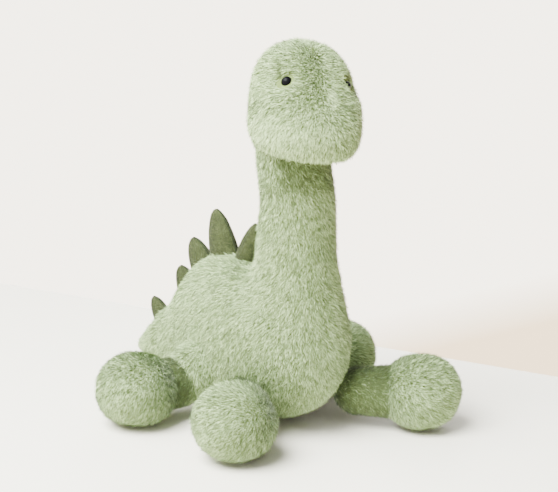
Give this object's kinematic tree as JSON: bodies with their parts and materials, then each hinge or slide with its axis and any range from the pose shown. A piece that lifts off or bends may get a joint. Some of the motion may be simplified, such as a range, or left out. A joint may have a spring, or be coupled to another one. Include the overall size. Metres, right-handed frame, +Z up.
{
  "type": "stuffed dinosaur",
  "caption": "Sitting long-necked plush dinosaur with a bendable neck, turning head, floppy legs with round feet, tail and a row of felt back spikes.",
  "frame": {"origin": "on the surface the toy sits on, under the middle of its whole outline", "axes": "+Z up, -Y the way the body faces, +X towards the toy's left side"},
  "size_m": [0.2817, 0.3709, 0.3377],
  "materials": {
    "plush": "long soft pile",
    "spike_felt": "short felt",
    "stuffing": "loose polyester fibre",
    "pellets": "bagged pellets",
    "eye": "gloss",
    "washer": "matte"
  },
  "bodies": {
    "torso": {"torso_casing_left": "plush", "torso_casing_right": "plush", "torso_stuffing": "stuffing", "seat_panel": "plush", "seat_pellet_bag": "pellets", "spike_1_felt": "spike_felt", "spike_1_stuffing": "stuffing", "spike_2_felt": "spike_felt", "spike_2_stuffing": "stuffing", "spike_3_felt": "spike_felt", "spike_3_stuffing": "stuffing", "spike_4_felt": "spike_felt", "spike_4_stuffing": "stuffing"},
    "neck_lower": {"neck_lower_casing": "plush", "neck_lower_stuffing": "stuffing"},
    "neck_middle": {"neck_middle_casing": "plush", "neck_middle_stuffing": "stuffing"},
    "neck_upper": {"neck_upper_casing": "plush", "neck_upper_stuffing": "stuffing"},
    "head": {"head_casing_left": "plush", "head_casing_right": "plush", "head_stuffing": "stuffing", "eye_left": "eye", "eye_right": "eye", "eye_washer_left": "washer", "eye_washer_right": "washer"},
    "tail_base": {"tail_base_casing": "plush", "tail_base_stuffing": "stuffing", "spike_5_felt": "spike_felt", "spike_5_stuffing": "stuffing"},
    "tail_tip": {"tail_tip_casing": "plush", "tail_tip_stuffing": "stuffing"},
    "leg_front_right": {"leg_front_right_casing": "plush", "leg_front_right_stuffing": "stuffing"},
    "foot_front_right": {"foot_front_right_casing": "plush", "foot_front_right_stuffing": "stuffing", "foot_front_right_pellets": "pellets"},
    "leg_front_left": {"leg_front_left_casing": "plush", "leg_front_left_stuffing": "stuffing"},
    "foot_front_left": {"foot_front_left_casing": "plush", "foot_front_left_stuffing": "stuffing", "foot_front_left_pellets": "pellets"},
    "leg_rear_right": {"leg_rear_right_casing": "plush", "leg_rear_right_stuffing": "stuffing"},
    "foot_rear_right": {"foot_rear_right_casing": "plush", "foot_rear_right_stuffing": "stuffing", "foot_rear_right_pellets": "pellets"},
    "leg_rear_left": {"leg_rear_left_casing": "plush", "leg_rear_left_stuffing": "stuffing"},
    "foot_rear_left": {"foot_rear_left_casing": "plush", "foot_rear_left_stuffing": "stuffing", "foot_rear_left_pellets": "pellets"}
  },
  "joints": [
    {"name": "neck_lean", "type": "hinge", "parent": "torso", "child": "neck_lower", "pos_m": [0.003, -0.0907, 0.162], "axis": [1, 0, 0], "range_deg": [-12, 14], "stiffness_Nm_per_rad": 1.2},
    {"name": "neck_sway", "type": "hinge", "parent": "neck_lower", "child": "neck_middle", "pos_m": [0.003, -0.0907, 0.202], "axis": [0, 1, 0], "range_deg": [-8, 16], "stiffness_Nm_per_rad": 1.2},
    {"name": "head_turn", "type": "hinge", "parent": "neck_middle", "child": "neck_upper", "pos_m": [-0.00014, -0.0907, 0.23786], "axis": [-0.0872, 0, 0.9962], "range_deg": [-25, 25], "stiffness_Nm_per_rad": 0.3},
    {"name": "head_nod", "type": "hinge", "parent": "neck_upper", "child": "head", "pos_m": [-0.00084, -0.0907, 0.24583], "axis": [0.9666, -0.2419, 0.0846], "range_deg": [-14, 14], "stiffness_Nm_per_rad": 1},
    {"name": "tail_sway", "type": "hinge", "parent": "torso", "child": "tail_base", "pos_m": [0.003, 0.1123, 0.0325], "axis": [0, 0, 1], "range_deg": [-15, 15], "stiffness_Nm_per_rad": 0.3},
    {"name": "tail_lift", "type": "hinge", "parent": "tail_base", "child": "tail_tip", "pos_m": [0.003, 0.15768, 0.01687], "axis": [1, 0, 0], "range_deg": [0, 15], "stiffness_Nm_per_rad": 0.05},
    {"name": "hip_swing_front_right", "type": "hinge", "parent": "torso", "child": "leg_front_right", "pos_m": [-0.038, -0.0717, 0.033], "axis": [0, 0, 1], "range_deg": [-12, 12], "stiffness_Nm_per_rad": 0.3},
    {"name": "ankle_flex_front_right", "type": "hinge", "parent": "leg_front_right", "child": "foot_front_right", "pos_m": [-0.06359, -0.10113, 0.033], "axis": [-0.7547, 0.6561, 0], "range_deg": [-12, 18], "stiffness_Nm_per_rad": 0.3},
    {"name": "hip_swing_front_left", "type": "hinge", "parent": "torso", "child": "leg_front_left", "pos_m": [0.049, -0.1077, 0.033], "axis": [0, 0, 1], "range_deg": [-12, 12], "stiffness_Nm_per_rad": 0.3},
    {"name": "ankle_flex_front_left", "type": "hinge", "parent": "leg_front_left", "child": "foot_front_left", "pos_m": [0.07798, -0.1338, 0.033], "axis": [-0.6691, -0.7431, 0], "range_deg": [-12, 18], "stiffness_Nm_per_rad": 0.3},
    {"name": "hip_swing_rear_right", "type": "hinge", "parent": "torso", "child": "leg_rear_right", "pos_m": [-0.043, -0.0017, 0.033], "axis": [0, 0, 1], "range_deg": [-12, 12], "stiffness_Nm_per_rad": 0.3},
    {"name": "ankle_flex_rear_right", "type": "hinge", "parent": "leg_rear_right", "child": "foot_rear_right", "pos_m": [-0.08191, 0.00102, 0.033], "axis": [0.0698, 0.9976, 0], "range_deg": [-12, 18], "stiffness_Nm_per_rad": 0.3},
    {"name": "hip_swing_rear_left", "type": "hinge", "parent": "torso", "child": "leg_rear_left", "pos_m": [0.044, -0.0087, 0.033], "axis": [0, 0, 1], "range_deg": [-12, 12], "stiffness_Nm_per_rad": 0.3},
    {"name": "ankle_flex_rear_left", "type": "hinge", "parent": "leg_rear_left", "child": "foot_rear_left", "pos_m": [0.08228, -0.01614, 0.033], "axis": [-0.1908, -0.9816, 0], "range_deg": [-12, 18], "stiffness_Nm_per_rad": 0.3}
  ]
}
